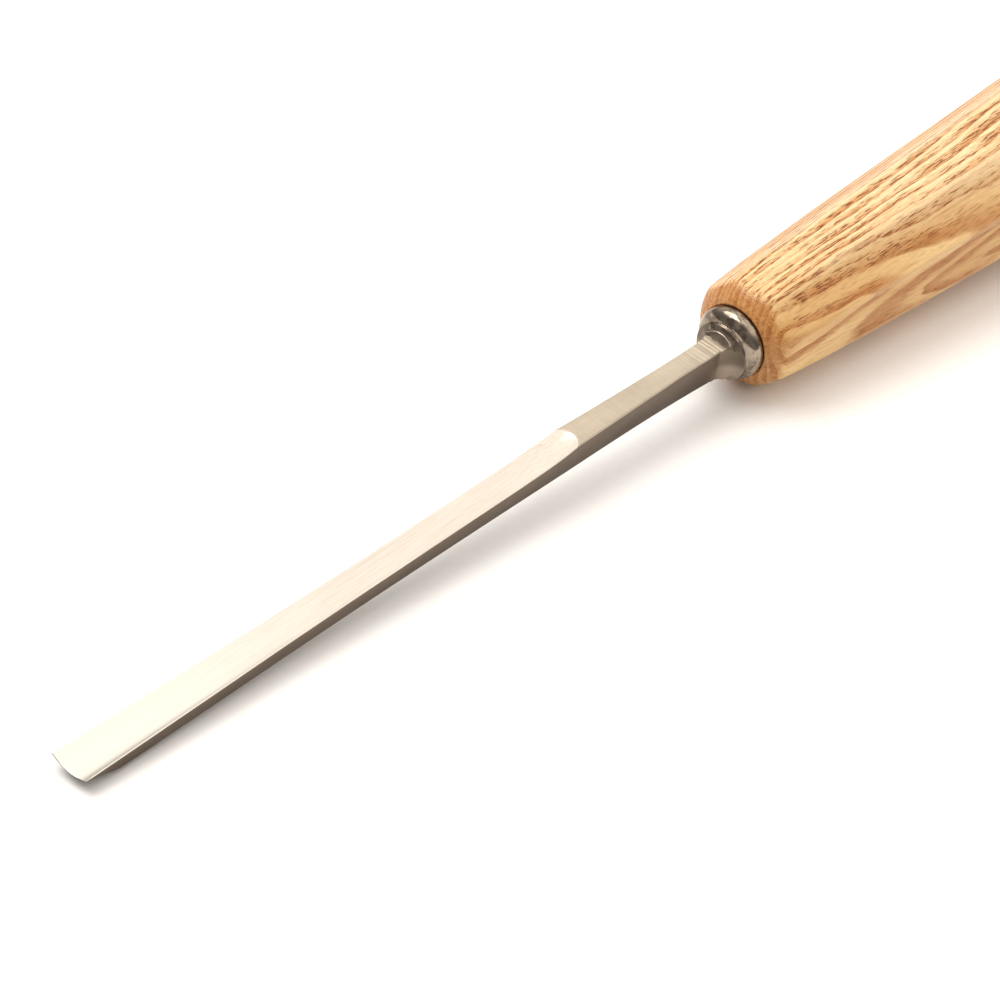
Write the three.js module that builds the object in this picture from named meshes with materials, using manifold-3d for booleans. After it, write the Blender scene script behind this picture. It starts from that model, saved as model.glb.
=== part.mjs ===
// Shallow-sweep wood carving tool: forged blade with bolster and tang, inner ferrule, octagonal handle.
// Millimetres, +Z up. The tool lies at rest: the handle's lower flat and the blade's heel on Z = 0.
// Each piece is first shaped in the tool's own frame: X along its middle line, 0 where the wood's
// rounded nose begins its last curve to the bolster, positive toward the cutting edge; +Z on the hollow side.
import * as THREE from 'three';
import { mergeVertices } from 'three/addons/utils/BufferGeometryUtils.js';
import Module from 'manifold-3d';

const wasm = await Module();
wasm.setup();

// ---- driving dimensions ----
const BLADE_LENGTH = 120;        // from X = 0 to the cutting edge
const EDGE_WIDTH = 6.0;          // width of the cutting edge
const SHANK_WIDTH = 4.24;        // width of the blade behind the channel's start
const SHANK_HEIGHT = 3.57;       // height of the blade behind the channel's start
const NECK_WIDTH = 3.24;         // width of the shank just before the bolster
const NECK_HEIGHT = 4.98;        // height of the shank just before the bolster
const SWEEP_RADIUS = 6.3;        // radius of the channel across the blade
const RUNOUT_X = 33.4;           // where the channel starts on the shank's flat top
const BEVEL_ANGLE = 16.5;        // degrees, under the cutting edge
const BOLSTER_RADIUS = 5.3;
const HANDLE_LENGTH = 130;
const HANDLE_NOSE_WIDTH = 15.6;  // across the flats just behind the turned nose
const HANDLE_BELLY_WIDTH = 24.4; // across the flats at the widest place
const BUTT_WIDTH = 21.4;         // across the flats where the butt's dome begins
const TANG_WIDTH = 4.6;
const TANG_LENGTH = 64;

// ---- smaller dimensions ----
const FIT_GAP = 0.3;             // clearance left between mating pieces
const EDGE_LAND = 0.06;          // thickness left at the cutting edge
const SHANK_TOP = 1.72;          // flat top of the shank at the channel's start
const SHANK_TOP_RISE = 0.0072;   // rise of that flat per millimetre toward the bolster
const CHANNEL_SLOPE = 0.0245;    // fall of the channel floor per millimetre toward the edge
const RUNOUT_DROP = 1.06;        // extra fall of the floor over the run-out
const RUNOUT_LENGTH = 3.8;       // how quickly that fall happens
const LEAD_IN_RISE = 0.3;        // climb of the cut per millimetre behind the channel's start
const EDGE_BREAK = 0.12;         // small flat that breaks the long corners
const UNDER_CROWN = 0.58;        // how far the underside bulges below its corners at the heel
const SHANK_CROWN_SHARE = 0.2;   // share of that bulge under the shank
const HEEL_CORNER_DEPTH = 2.47;  // the blade's lower corners below the tool's middle, near the heel
const NECK_X = 7;                // where the shank starts to swell into the bolster
const WOOD_FRONT = 0.7;          // front ring of the wood, just behind the bolster's rim
const BOLSTER_BACK = WOOD_FRONT + FIT_GAP;
const RIM_X = 1.65;              // where the bolster is widest
const DOME_LENGTH = 1.5;         // from the rim to the front of the bolster's dome
const COLLAR_RADIUS = Math.hypot(NECK_WIDTH, NECK_HEIGHT) / 2 + 0.53; // round the scoops are ground into
const DOME_INNER = COLLAR_RADIUS - 0.9;  // radius about which the dome's profile curves
const TANG_TIP_WIDTH = 2.4;
const TANG_POINT = 4;            // length of the tang's pointed end
const TANG_POINT_WIDTH = 0.8;
const FERRULE_INNER = TANG_WIDTH * Math.SQRT1_2 + FIT_GAP;
const FERRULE_RADIUS = FERRULE_INNER + 1.3;
const FERRULE_LENGTH = 12;
const NOSE_FACE_RADIUS = FERRULE_RADIUS + FIT_GAP + 0.35;  // flat front ring of the wood
const NOSE_DEPTH = 5.1;          // length of the turned, rounded nose
const NOSE_BULGE = 0.3;          // outward curve of the flats behind the nose
const STRAIGHT_START = 29.5;     // behind the junction, where the flats become straight
const BELLY_X = HANDLE_LENGTH - 32;  // behind the junction, widest place
const BUTT_X = HANDLE_LENGTH - 7;
const DOME_RADIUS = 19;
const ROUND_STEPS = 56;
const CURVE_STEPS = 14;          // steps across the channel and the bevel
const FAR = 12;                  // reach of a cutting body past the blade
const BEVEL_REACH = 14;           // length of the cut under the edge
const CUT_REACH = EDGE_WIDTH / 2 + 1.2;

const HEEL_DROP = UNDER_CROWN + HEEL_CORNER_DEPTH;
const BEVEL_FALL = Math.tan(THREE.MathUtils.degToRad(BEVEL_ANGLE));
// where the bevel meets the underside, on the middle line
const HEEL_X = BLADE_LENGTH - (HEEL_DROP + channelFloor(BLADE_LENGTH) - EDGE_LAND) / BEVEL_FALL;

const NECK_TOP = shankTop(NECK_X);
const NECK_BOTTOM = NECK_TOP - NECK_HEIGHT;
const SHANK_BOTTOM = shankTop(RUNOUT_X) - SHANK_HEIGHT;
const alongShank = (share) => NECK_X + share * (RUNOUT_X + 4 - NECK_X);
const alongBlade = (share) => RUNOUT_X + share * (BLADE_LENGTH - RUNOUT_X);
const mix = THREE.MathUtils.lerp;

// half width of the blade and shank at stations along X
const HALF_WIDTHS = [
  [NECK_X, NECK_WIDTH / 2],
  [alongShank(0.16), NECK_WIDTH * 0.485],
  [alongShank(0.43), NECK_WIDTH * 0.525],
  [alongShank(0.76), SHANK_WIDTH * 0.455],
  [alongBlade(0.053), SHANK_WIDTH * 0.505],
  [alongBlade(0.19), SHANK_WIDTH * 0.5],
  [alongBlade(0.42), SHANK_WIDTH * 0.514],
  [alongBlade(0.6), SHANK_WIDTH * 0.549],
  [alongBlade(0.77), EDGE_WIDTH * 0.435],
  [BLADE_LENGTH, EDGE_WIDTH / 2],
];

// height of the lower corners at stations along X
const LOWER_CORNERS = [
  [NECK_X, NECK_BOTTOM],
  [alongShank(0.16), mix(SHANK_BOTTOM, NECK_BOTTOM, 0.84)],
  [alongShank(0.43), mix(SHANK_BOTTOM, NECK_BOTTOM, 0.5)],
  [alongShank(0.76), mix(SHANK_BOTTOM, NECK_BOTTOM, 0.23)],
  [alongBlade(0.053), SHANK_BOTTOM],
  [alongBlade(0.19), mix(SHANK_BOTTOM, -HEEL_CORNER_DEPTH, 0.2)],
  [alongBlade(0.42), mix(SHANK_BOTTOM, -HEEL_CORNER_DEPTH, 0.5)],
  [alongBlade(0.63), mix(SHANK_BOTTOM, -HEEL_CORNER_DEPTH, 0.84)],
  [alongBlade(0.86), -HEEL_CORNER_DEPTH],
];

// resting line: from the heel's lowest point back to the lowest point of the handle's belly
const REST_TILT = Math.atan((HANDLE_BELLY_WIDTH / 2 - HEEL_DROP) / (BELLY_X + HEEL_X));

function shankTop(x) { return SHANK_TOP + SHANK_TOP_RISE * (RUNOUT_X - x); }

// monotone cubic through [x, value] pairs
function spline(table, x) {
  const last = table.length - 1;
  if (x <= table[0][0]) return table[0][1];
  if (x >= table[last][0]) return table[last][1];
  const slope = (i) => (table[i + 1][1] - table[i][1]) / (table[i + 1][0] - table[i][0]);
  const tangent = (i) => {
    if (i === 0) return slope(0);
    if (i === last) return slope(last - 1);
    const a = slope(i - 1), b = slope(i);
    return a * b <= 0 ? 0 : 2 * a * b / (a + b);
  };
  let i = 0;
  while (x > table[i + 1][0]) i++;
  const h = table[i + 1][0] - table[i][0], s = (x - table[i][0]) / h;
  return table[i][1] * (1 + 2 * s) * (1 - s) ** 2 + tangent(i) * h * s * (1 - s) ** 2
    + table[i + 1][1] * s * s * (3 - 2 * s) + tangent(i + 1) * h * s * s * (s - 1);
}

// floor of the channel along its middle, and its rise away from the middle
function channelFloor(x) {
  const u = x - RUNOUT_X;
  const start = SHANK_TOP - CHANNEL_SLOPE * u;
  return u < 0 ? SHANK_TOP - LEAD_IN_RISE * u : start - RUNOUT_DROP * (1 - Math.exp(-u / RUNOUT_LENGTH));
}
const sweepRise = (y) => SWEEP_RADIUS - Math.sqrt(SWEEP_RADIUS ** 2 - y * y);

// ---- solids ----
function toSolid(geometry) {
  const clean = geometry.clone();
  clean.deleteAttribute('normal');
  clean.deleteAttribute('uv');
  const merged = mergeVertices(clean, 1e-4);
  return new wasm.Manifold(new wasm.Mesh({
    numProp: 3,
    vertProperties: new Float32Array(merged.attributes.position.array),
    triVerts: new Uint32Array(merged.index.array),
  }));
}

function toGeometry(solid) {
  const mesh = solid.getMesh();
  const geometry = new THREE.BufferGeometry();
  geometry.setAttribute('position', new THREE.BufferAttribute(mesh.vertProperties, 3));
  geometry.setIndex(new THREE.BufferAttribute(mesh.triVerts, 1));
  geometry.computeVertexNormals();
  return geometry;
}

// closed body through rings of equal point count; rings run anticlockwise seen from +X, X rising
function loft(rings) {
  const count = rings[0].length;
  const position = rings.flat().flatMap((p) => [p.x, p.y, p.z]);
  const index = [];
  for (let r = 0; r + 1 < rings.length; r++) {
    for (let k = 0; k < count; k++) {
      const a = r * count + k, b = r * count + (k + 1) % count;
      index.push(a, b, a + count, b, b + count, a + count);
    }
  }
  const end = (rings.length - 1) * count;
  const cap = (points) => {
    const flat = points.map((p) => new THREE.Vector2(p.y, p.z));
    return THREE.ShapeUtils.triangulateShape(flat, []);
  };
  for (const [a, b, c] of cap(rings[0])) index.push(a, c, b);
  for (const [a, b, c] of cap(rings[rings.length - 1])) index.push(end + a, end + b, end + c);
  const geometry = new THREE.BufferGeometry();
  geometry.setAttribute('position', new THREE.BufferAttribute(new Float32Array(position), 3));
  geometry.setIndex(index);
  return toSolid(geometry);
}

const ring = (x, points) => points.map(([y, z]) => new THREE.Vector3(x, y, z));

// body turned about the tool's axis; profile is [x, radius] pairs from the axis back to the axis
function turned(profile) {
  const points = profile.map(([x, radius]) => new THREE.Vector2(radius, x));
  const geometry = new THREE.LatheGeometry(points, ROUND_STEPS);
  geometry.rotateZ(-Math.PI / 2);
  const solid = toSolid(geometry);
  return solid.volume() > 0 ? solid : toSolid(flipped(geometry));
}

function flipped(geometry) {
  const copy = geometry.clone(), faces = copy.index.array;
  for (let i = 0; i < faces.length; i += 3) [faces[i], faces[i + 1]] = [faces[i + 1], faces[i]];
  return copy;
}

// ---- blade, bolster and tang: one forging ----
function bladeRing(x) {
  const half = spline(HALF_WIDTHS, x), top = shankTop(x), bottom = spline(LOWER_CORNERS, x);
  const ease = THREE.MathUtils.smoothstep(x, RUNOUT_X, HEEL_X);
  const crown = UNDER_CROWN * mix(SHANK_CROWN_SHARE, 1, ease);
  const inner = half - EDGE_BREAK, points = [];
  points.push([inner, top], [-inner, top], [-half, top - EDGE_BREAK], [-half, bottom + EDGE_BREAK]);
  const steps = 8;
  for (let k = 0; k <= steps; k++) {
    const y = -inner + 2 * inner * k / steps;
    points.push([y, bottom - crown * (1 - (y / inner) ** 2)]);
  }
  points.push([half, bottom + EDGE_BREAK], [half, top - EDGE_BREAK]);
  return ring(x, points);
}

function bladeBody() {
  const stations = [];
  for (let x = RIM_X; x < BLADE_LENGTH - 1; x += 4.5) stations.push(x);
  stations.push(BLADE_LENGTH);
  return loft(stations.map(bladeRing));
}

function channelCutter() {
  const rings = [], reach = CUT_REACH;
  const behind = [-3, 0, 0.7, 1.5, 2.5, 4, 6, 9, 13, 20].map((step) => RUNOUT_X + step);
  for (const x of [...behind, BLADE_LENGTH + 1]) {
    const points = [[reach, FAR], [-reach, FAR]];
    for (let k = 0; k <= CURVE_STEPS; k++) {
      const y = -reach + 2 * reach * k / CURVE_STEPS;
      points.push([y, channelFloor(x) + sweepRise(y)]);
    }
    rings.push(ring(x, points));
  }
  return loft(rings);
}

// everything below the bevel; its ridge-line follows the curved cutting edge
function bevelCutter() {
  const rings = [], reach = CUT_REACH, floor = channelFloor(BLADE_LENGTH);
  for (const back of [-BEVEL_REACH, 1]) {
    const depth = EDGE_LAND - back * BEVEL_FALL;
    const points = [];
    for (let k = 0; k <= CURVE_STEPS; k++) {
      const y = reach - 2 * reach * k / CURVE_STEPS;
      points.push([y, floor + sweepRise(y) - depth]);
    }
    points.push([-reach, -FAR], [reach, -FAR]);
    rings.push(ring(BLADE_LENGTH + back, points));
  }
  return loft(rings);
}

// space above one face of the shank; its end curves up to the bolster like the mark of a grinding wheel
function scoop(level, radius, end, turn) {
  const rings = [], steps = 7;
  const slab = (x, height) => ring(x, [[FAR, height], [FAR, FAR], [-FAR, FAR], [-FAR, height]]);
  for (let k = 0; k <= steps; k++) {
    const a = Math.PI / 2 * k / steps;
    rings.push(slab(end - radius * Math.cos(a), level + radius * (1 - Math.sin(a))));
  }
  rings.push(slab(NECK_X + 2, level));
  return loft(rings).rotate([turn, 0, 0]);
}

function bolster() {
  const profile = [[BOLSTER_BACK, 0], [BOLSTER_BACK, BOLSTER_RADIUS - 0.7],
    [BOLSTER_BACK + 0.2, BOLSTER_RADIUS - 0.25], [BOLSTER_BACK + 0.4, BOLSTER_RADIUS - 0.06]];
  const steps = 10, rise = BOLSTER_RADIUS - DOME_INNER;
  for (let k = 0; k <= steps; k++) {
    const a = Math.PI / 2 * k / steps;
    profile.push([RIM_X + DOME_LENGTH * Math.sin(a), DOME_INNER + rise * Math.cos(a)]);
  }
  profile.push([RIM_X + DOME_LENGTH, 0]);
  const collar = turned([[RIM_X, 0], [RIM_X, COLLAR_RADIUS], [NECK_X, COLLAR_RADIUS], [NECK_X, 0]])
    .translate([0, 0, NECK_TOP - NECK_HEIGHT / 2]);
  const side = NECK_WIDTH / 2, under = NECK_HEIGHT - NECK_TOP;
  return turned(profile).add(collar)
    .subtract(scoop(NECK_TOP, 1.25, 4.3, 0))
    .subtract(scoop(side, 3.3, 6.3, 90)).subtract(scoop(side, 3.3, 6.3, -90))
    .subtract(scoop(under, 4.5, 6.6, 180));
}

function tang(grow = 0) {
  const square = (x, width) => {
    const h = width / 2 + grow;
    return ring(x, [[h, h], [-h, h], [-h, -h], [h, -h]]);
  };
  return loft([
    square(-TANG_LENGTH - grow, TANG_POINT_WIDTH),
    square(TANG_POINT - TANG_LENGTH, TANG_TIP_WIDTH),
    square(BOLSTER_BACK + 0.5, TANG_WIDTH),
  ]);
}

function makeBladeForging() {
  return bladeBody().subtract(channelCutter()).subtract(bevelCutter())
    .add(bolster()).add(tang());
}

// ---- steel ring let into the front of the wood ----
function makeFerruleRing() {
  const front = WOOD_FRONT - FIT_GAP, back = front - FERRULE_LENGTH;
  return turned([[back, FERRULE_INNER], [back, FERRULE_RADIUS], [front, FERRULE_RADIUS],
    [front, FERRULE_INNER], [back, FERRULE_INNER]]);
}

// ---- octagonal handle ----
function handleHalfWidth(behind) {
  const belly = HANDLE_BELLY_WIDTH / 2, taper = Math.tan(REST_TILT);
  const straightFront = belly - taper * (BELLY_X - STRAIGHT_START);
  if (behind >= BELLY_X) {
    const t = (behind - BELLY_X) / (BUTT_X - BELLY_X);
    return belly - (belly - BUTT_WIDTH / 2) * t * t;
  }
  if (behind >= STRAIGHT_START) return belly - taper * (BELLY_X - behind);
  const t = (STRAIGHT_START - behind) / STRAIGHT_START;
  return mix(straightFront, HANDLE_NOSE_WIDTH / 2 - 0.25, t) + NOSE_BULGE * t * (1 - t);
}

function octagonRing(behind) {
  const corner = handleHalfWidth(behind) / Math.cos(Math.PI / 8), points = [];
  for (let k = 0; k < 8; k++) {
    const angle = Math.PI / 8 + k * Math.PI / 4;
    points.push([corner * Math.cos(angle), corner * Math.sin(angle)]);
  }
  return ring(-behind, points);
}

// the round body the handle's two ends are turned to: domed butt, eased corners and rounded nose
function turnedEnds() {
  const clear = HANDLE_BELLY_WIDTH / 2 + 4, profile = [[-HANDLE_LENGTH, 0]];
  const domeSteps = 9, domeReach = BUTT_WIDTH / 2 - 1.5;
  for (let k = 1; k <= domeSteps; k++) {
    const r = domeReach * k / domeSteps;
    profile.push([-HANDLE_LENGTH + DOME_RADIUS - Math.sqrt(DOME_RADIUS ** 2 - r * r), r]);
  }
  const domeEnd = profile[domeSteps][0];
  profile.push([domeEnd + 1.0, domeReach + 1.1], [domeEnd + 2.6, domeReach + 2.2], [domeEnd + 6, clear]);
  // share of the nose's length back from the front ring, share of its rise outward
  const nose = [[1, 1], [0.76, 0.95], [0.53, 0.85], [0.34, 0.66], [0.21, 0.46], [0.09, 0.24], [0, 0]];
  const rim = HANDLE_NOSE_WIDTH / 2 * 1.13, rise = rim - NOSE_FACE_RADIUS;
  profile.push([-24, clear], [-9, rim + 0.7]);
  for (const [back, out] of nose) {
    profile.push([WOOD_FRONT - NOSE_DEPTH * back, NOSE_FACE_RADIUS + rise * out]);
  }
  profile.push([WOOD_FRONT, 0]);
  return turned(profile);
}

function makeHandle() {
  const curved = [0.25, 0.5, 0.75, 1].map((t) => mix(BELLY_X, BUTT_X, t)).reverse();
  const front = [22, 15, 8, -WOOD_FRONT];
  const octagon = loft([HANDLE_LENGTH, ...curved, BELLY_X, STRAIGHT_START, ...front].map(octagonRing));
  const recess = WOOD_FRONT - FERRULE_LENGTH - 2 * FIT_GAP, bore = FERRULE_RADIUS + FIT_GAP;
  const counterbore = turned([[recess, 0], [recess, bore], [2, bore], [2, 0]]);
  return octagon.intersect(turnedEnds()).subtract(counterbore).subtract(tang(FIT_GAP));
}

// ---- the parts at rest ----
const PARTS = [
  ['blade_forging', makeBladeForging(), { color: 0xb9b4aa, metalness: 1.0, roughness: 0.26 }],
  ['ferrule_ring', makeFerruleRing(), { color: 0x8a867f, metalness: 1.0, roughness: 0.45 }],
  ['handle_ash', makeHandle(), { color: 0xe3c79a, metalness: 0.0, roughness: 0.42 }],
];

const tool = new THREE.Group();
tool.name = 'carving_tool';
for (const [name, solid, look] of PARTS) {
  const geometry = toGeometry(solid);
  geometry.rotateY(REST_TILT);
  const mesh = new THREE.Mesh(geometry, new THREE.MeshStandardMaterial(look));
  mesh.name = name;
  tool.add(mesh);
}
const box = new THREE.Box3().setFromObject(tool);
const middle = box.getCenter(new THREE.Vector3());
for (const mesh of tool.children) mesh.geometry.translate(-middle.x, 0, -box.min.z);

export default tool;
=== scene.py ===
"""A shallow-sweep wood carving tool lying on a pale floor: polished forged blade, bolster, ash handle.

Shapes are worked out in the tool's own frame, in millimetres: X along the tool's middle line toward
the cutting edge, +Z on the hollow side. place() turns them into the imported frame, in metres.
"""
import math

import bpy
from mathutils import Matrix, Vector


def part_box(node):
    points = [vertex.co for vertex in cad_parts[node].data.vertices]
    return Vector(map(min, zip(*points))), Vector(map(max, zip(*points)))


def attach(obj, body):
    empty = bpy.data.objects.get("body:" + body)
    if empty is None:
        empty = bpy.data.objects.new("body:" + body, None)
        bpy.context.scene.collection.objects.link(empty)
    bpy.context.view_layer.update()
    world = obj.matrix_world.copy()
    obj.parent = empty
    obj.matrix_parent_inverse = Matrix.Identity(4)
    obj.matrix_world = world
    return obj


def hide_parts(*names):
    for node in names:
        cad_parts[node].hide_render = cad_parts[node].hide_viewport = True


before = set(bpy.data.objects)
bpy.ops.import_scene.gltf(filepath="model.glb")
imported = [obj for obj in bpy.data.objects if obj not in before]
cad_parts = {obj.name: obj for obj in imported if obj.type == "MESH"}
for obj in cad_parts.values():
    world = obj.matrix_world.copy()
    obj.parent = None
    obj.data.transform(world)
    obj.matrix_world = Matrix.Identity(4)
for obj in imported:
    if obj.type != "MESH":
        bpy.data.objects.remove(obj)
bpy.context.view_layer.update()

MM = 0.001

# ---- sizes shared with the CAD part, in millimetres ----
BLADE_LENGTH = 120.0      # from X = 0 to the cutting edge
EDGE_WIDTH = 6.0
SHANK_WIDTH = 4.24
SHANK_HEIGHT = 3.57
NECK_WIDTH = 3.24
NECK_HEIGHT = 4.98
SWEEP_RADIUS = 6.3        # of the channel, across the blade
RUNOUT_X = 33.4           # where the channel starts on the shank's flat top
BEVEL_FALL = math.tan(math.radians(16.5))
EDGE_LAND = 0.06          # thickness left at the cutting edge
SHANK_TOP = 1.72          # flat top of the shank at the channel's start
SHANK_TOP_RISE = 0.0072   # rise of that flat per millimetre toward the bolster
CHANNEL_SLOPE = 0.0245    # fall of the channel's floor per millimetre toward the edge
RUNOUT_DROP = 1.06        # extra fall of the floor over the run-out
RUNOUT_LENGTH = 3.8       # how quickly that fall happens
UNDER_CROWN = 0.58        # how far the underside bulges below its corners at the heel
SHANK_CROWN_SHARE = 0.2   # share of that bulge under the shank
HEEL_CORNER_DEPTH = 2.47  # the blade's lower corners below the tool's middle line, near the heel
NECK_X = 7.0              # where the shank starts to swell into the bolster
WOOD_FRONT = 0.7
FIT_GAP = 0.3
BOLSTER_RADIUS = 5.3
RIM_X = 1.65              # where the bolster is widest
COLLAR_RADIUS = math.hypot(NECK_WIDTH, NECK_HEIGHT) / 2 + 0.53
DOME_INNER = COLLAR_RADIUS - 0.9
TANG_WIDTH = 4.6
TANG_TIP_WIDTH = 2.4
TANG_LENGTH = 64.0
TANG_POINT = 4.0          # length of the tang's pointed end
TANG_POINT_WIDTH = 0.8
FERRULE_LENGTH = 12.0
FERRULE_CENTRE_X = WOOD_FRONT - FIT_GAP - FERRULE_LENGTH / 2
HANDLE_LENGTH = 130.0
NOSE_WIDTH = 15.6
BELLY_WIDTH = 24.4
BUTT_WIDTH = 21.4
STRAIGHT_START = 29.5     # the flats are straight from this far back
BELLY_X = HANDLE_LENGTH - 32   # the handle is widest this far back
BUTT_X = HANDLE_LENGTH - 7     # and has narrowed to the butt's width here
NOSE_BULGE = 0.3          # outward curve of the flats behind the nose
NOSE_DEPTH = 5.1          # length of the turned, rounded nose
DOME_RADIUS = 19.0        # of the butt's domed end

# ---- sizes of these meshes only: the bolster follows the photo more closely than the CAD does ----
BOLSTER_BACK = 0.90
BACK_EASE = 0.14
DOME_LENGTH = 1.9         # from the rim to the front of the bolster's dome
DOME_POWER = 1.25         # above 1 the dome is leaner than an ellipse
COLLAR_FLARE_X = 4.15     # behind this the collar widens toward the dome
COLLAR_FLARE_LENGTH = 0.5
COLLAR_FLARE = 1.5
# the scoops round the neck: each ground from its end back toward the bolster's dome
TOP_SCOOP_END = 4.95
TOP_SCOOP_RADIUS = 4.6
TOP_SCOOP_SLOPE = math.radians(46)
UNDER_SCOOP_END = 6.6
UNDER_SCOOP_RADIUS = 4.5
SIDE_SCOOP_END = 6.0
SIDE_SCOOP_RADIUS = 3.3
SIDE_SCOOP_SLOPE = math.radians(14)
ARRIS = 0.003             # spacing of the close rings that keep an arris crisp
NOSE_FRONT = 0.82
NOSE_INSET = 0.25
NOSE_FACE_RADIUS = 5.5
BORE_RADIUS = 5.2
BORE_DEPTH = 12.0
BORE_MOUTH_FLARE = 0.06
BORE_MOUTH_DEPTH = 0.08
TANG_HOLE_RADIUS = 3.6
TANG_HOLE_TIP_RADIUS = 2.0
TANG_HOLE_SPARE = 1.0     # how far the hole goes past the tang's tip


def mix(a, b, t):
    return a + (b - a) * t


def smoothstep(low, high, x):
    t = min(1.0, max(0.0, (x - low) / (high - low)))
    return t * t * (3 - 2 * t)


# ---- the blade's surfaces ----
def shank_top(x):
    return SHANK_TOP + SHANK_TOP_RISE * (RUNOUT_X - x)


def channel_floor(x):
    run = x - RUNOUT_X
    return SHANK_TOP - CHANNEL_SLOPE * run - RUNOUT_DROP * (1 - math.exp(-run / RUNOUT_LENGTH))


def sweep_rise(y):
    return SWEEP_RADIUS - math.sqrt(SWEEP_RADIUS ** 2 - y * y)


HEEL_DROP = UNDER_CROWN + HEEL_CORNER_DEPTH
HEEL_X = BLADE_LENGTH - (HEEL_DROP + channel_floor(BLADE_LENGTH) - EDGE_LAND) / BEVEL_FALL
REST_TILT = math.atan((BELLY_WIDTH / 2 - HEEL_DROP) / (BELLY_X + HEEL_X))
NECK_TOP = shank_top(NECK_X)
NECK_BOTTOM = NECK_TOP - NECK_HEIGHT
NECK_MIDDLE = (NECK_TOP + NECK_BOTTOM) / 2
SHANK_BOTTOM = shank_top(RUNOUT_X) - SHANK_HEIGHT


def along_shank(share):
    return NECK_X + share * (RUNOUT_X + 4 - NECK_X)


def along_blade(share):
    return RUNOUT_X + share * (BLADE_LENGTH - RUNOUT_X)


# (x, half the width) from the neck to the cutting edge
HALF_WIDTHS = [
    (NECK_X, NECK_WIDTH / 2),
    (along_shank(0.16), NECK_WIDTH * 0.485),
    (along_shank(0.43), NECK_WIDTH * 0.525),
    (along_shank(0.76), SHANK_WIDTH * 0.455),
    (along_blade(0.053), SHANK_WIDTH * 0.505),
    (along_blade(0.19), SHANK_WIDTH * 0.5),
    (along_blade(0.42), SHANK_WIDTH * 0.514),
    (along_blade(0.6), SHANK_WIDTH * 0.549),
    (along_blade(0.77), EDGE_WIDTH * 0.435),
    (BLADE_LENGTH, EDGE_WIDTH / 2),
]
# (x, height of the lower long corners) from the neck to behind the heel
LOWER_CORNERS = [
    (NECK_X, NECK_BOTTOM),
    (along_shank(0.16), mix(SHANK_BOTTOM, NECK_BOTTOM, 0.84)),
    (along_shank(0.43), mix(SHANK_BOTTOM, NECK_BOTTOM, 0.5)),
    (along_shank(0.76), mix(SHANK_BOTTOM, NECK_BOTTOM, 0.23)),
    (along_blade(0.053), SHANK_BOTTOM),
    (along_blade(0.19), mix(SHANK_BOTTOM, -HEEL_CORNER_DEPTH, 0.2)),
    (along_blade(0.42), mix(SHANK_BOTTOM, -HEEL_CORNER_DEPTH, 0.5)),
    (along_blade(0.63), mix(SHANK_BOTTOM, -HEEL_CORNER_DEPTH, 0.84)),
    (along_blade(0.86), -HEEL_CORNER_DEPTH),
]


def spline(table, x):
    """Monotone cubic through (x, value) pairs."""
    last = len(table) - 1
    if x <= table[0][0]:
        return table[0][1]
    if x >= table[last][0]:
        return table[last][1]

    def slope(i):
        return (table[i + 1][1] - table[i][1]) / (table[i + 1][0] - table[i][0])

    def tangent(i):
        if i == 0:
            return slope(0)
        if i == last:
            return slope(last - 1)
        a, b = slope(i - 1), slope(i)
        return 0.0 if a * b <= 0 else 2 * a * b / (a + b)

    i = 0
    while x > table[i + 1][0]:
        i += 1
    h = table[i + 1][0] - table[i][0]
    s = (x - table[i][0]) / h
    return (table[i][1] * (1 + 2 * s) * (1 - s) ** 2 + tangent(i) * h * s * (1 - s) ** 2
            + table[i + 1][1] * s * s * (3 - 2 * s) + tangent(i + 1) * h * s * s * (s - 1))


def half_width(x):
    return spline(HALF_WIDTHS, x)


def blade_top(x, y):
    if x <= RUNOUT_X:
        return shank_top(x)
    return min(shank_top(x), channel_floor(x) + sweep_rise(y))


HEEL_SOFTNESS = 0.09      # height over which the heel is rounded


def blade_under(x, y):
    crown = UNDER_CROWN * mix(SHANK_CROWN_SHARE, 1.0, smoothstep(RUNOUT_X, HEEL_X, x))
    flat = spline(LOWER_CORNERS, x) - crown * (1 - (y / half_width(x)) ** 2)
    bevel = channel_floor(BLADE_LENGTH) + sweep_rise(y) - EDGE_LAND - (BLADE_LENGTH - x) * BEVEL_FALL
    high, low = max(flat, bevel), min(flat, bevel)
    return high + HEEL_SOFTNESS * math.log1p(math.exp((low - high) / HEEL_SOFTNESS))


RUNOUT_REACH = 8.0        # the channel's rounded end lies within this
HALVINGS = 40


def runout_x(y):
    """Where the channel's cut leaves the shank's flat top, at this distance from the middle."""
    low, high = RUNOUT_X, RUNOUT_X + RUNOUT_REACH
    for _ in range(HALVINGS):
        middle = (low + high) / 2
        if channel_floor(middle) + sweep_rise(y) > shank_top(middle):
            low = middle
        else:
            high = middle
    return low


# ---- placing ----
TURN = Matrix.Rotation(REST_TILT, 4, "Y")
ring_low, ring_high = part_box("ferrule_ring")
PLACE = Matrix.Translation((ring_low + ring_high) / 2 - TURN @ Vector((FERRULE_CENTRE_X * MM, 0, 0))) @ TURN


def place(point):
    return PLACE @ (Vector(point) * MM)


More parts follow.
